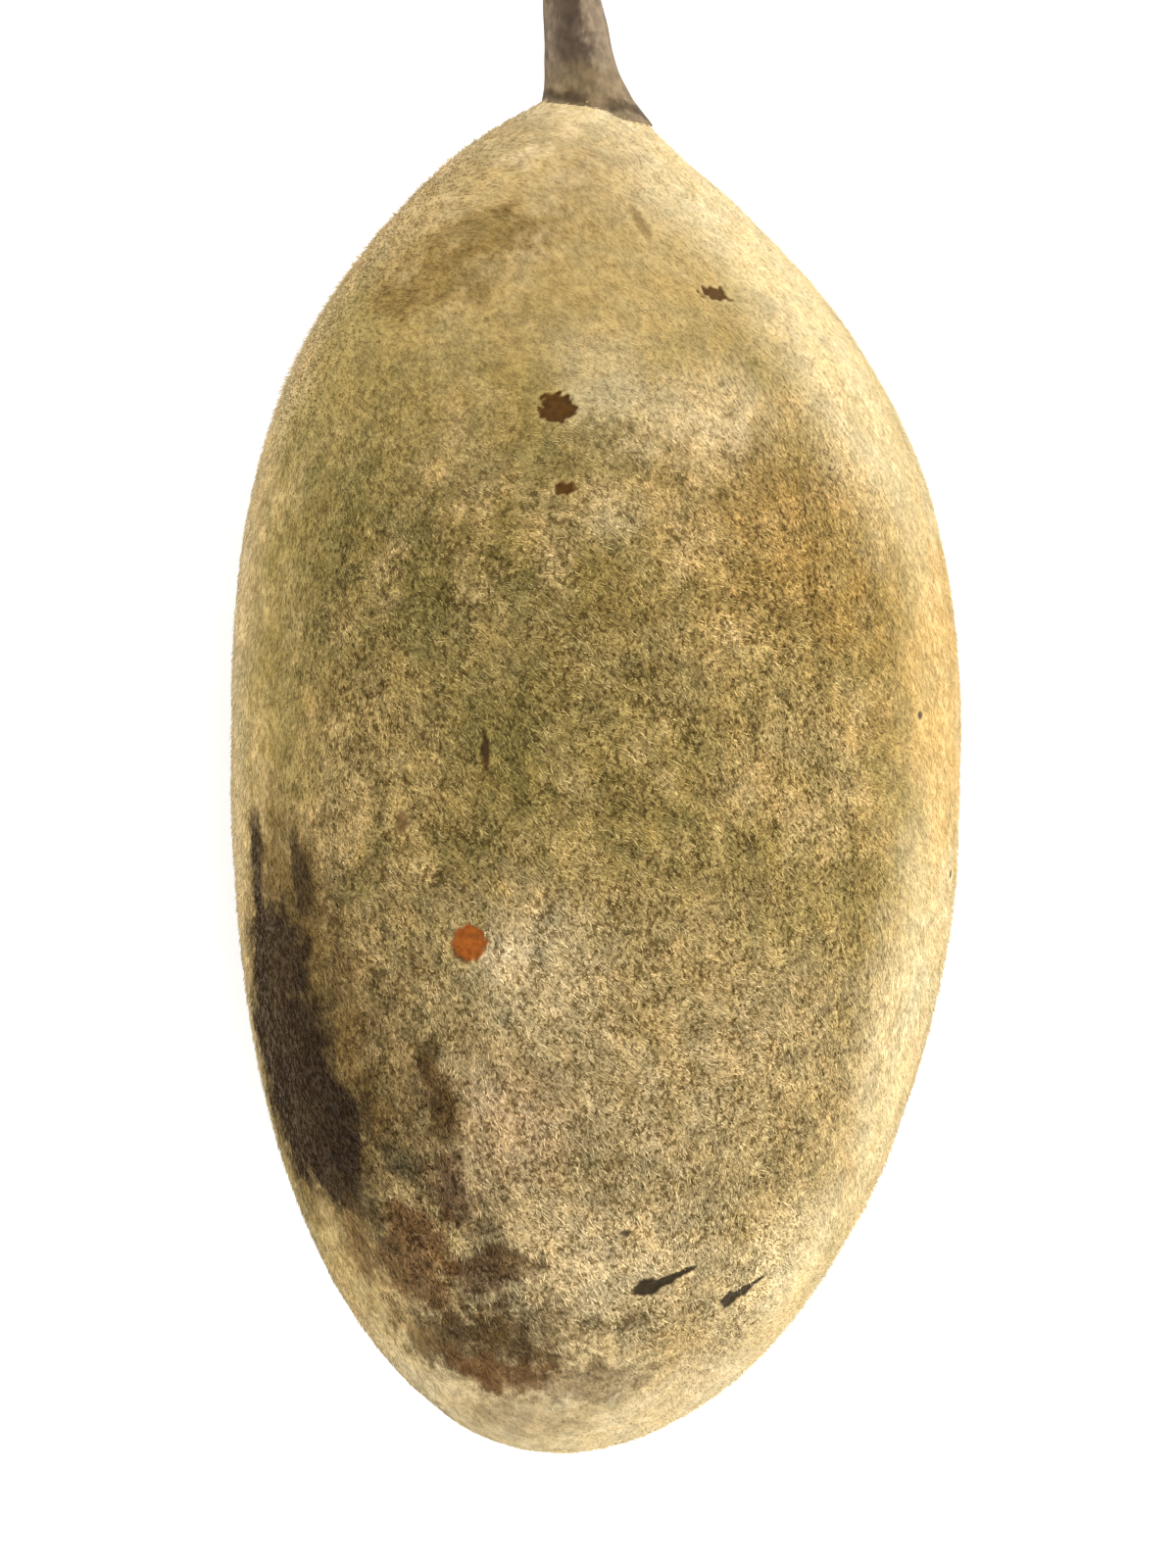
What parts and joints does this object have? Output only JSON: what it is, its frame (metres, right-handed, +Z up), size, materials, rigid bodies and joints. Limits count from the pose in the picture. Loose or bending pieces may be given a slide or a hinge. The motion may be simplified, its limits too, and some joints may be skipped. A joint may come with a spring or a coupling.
{
  "type": "baobab fruit pod",
  "caption": "Velvety oval baobab fruit pod with a short cut length of its woody stalk, lying on its side on a small flat spot.",
  "frame": {"origin": "centre of the small flat spot the pod rests on, right under its widest section", "axes": "+Z up; +Y along the pod towards its stalk, so the blossom end points to -Y; +X to the right of the upper face, seen from above with the stalk away from the viewer"},
  "size_m": [0.1028, 0.2309, 0.0991],
  "materials": {
    "pod_skin": "matte",
    "stalk_bark": "matte"
  },
  "bodies": {
    "root": {"pod": "pod_skin", "stalk": "stalk_bark"}
  },
  "joints": []
}
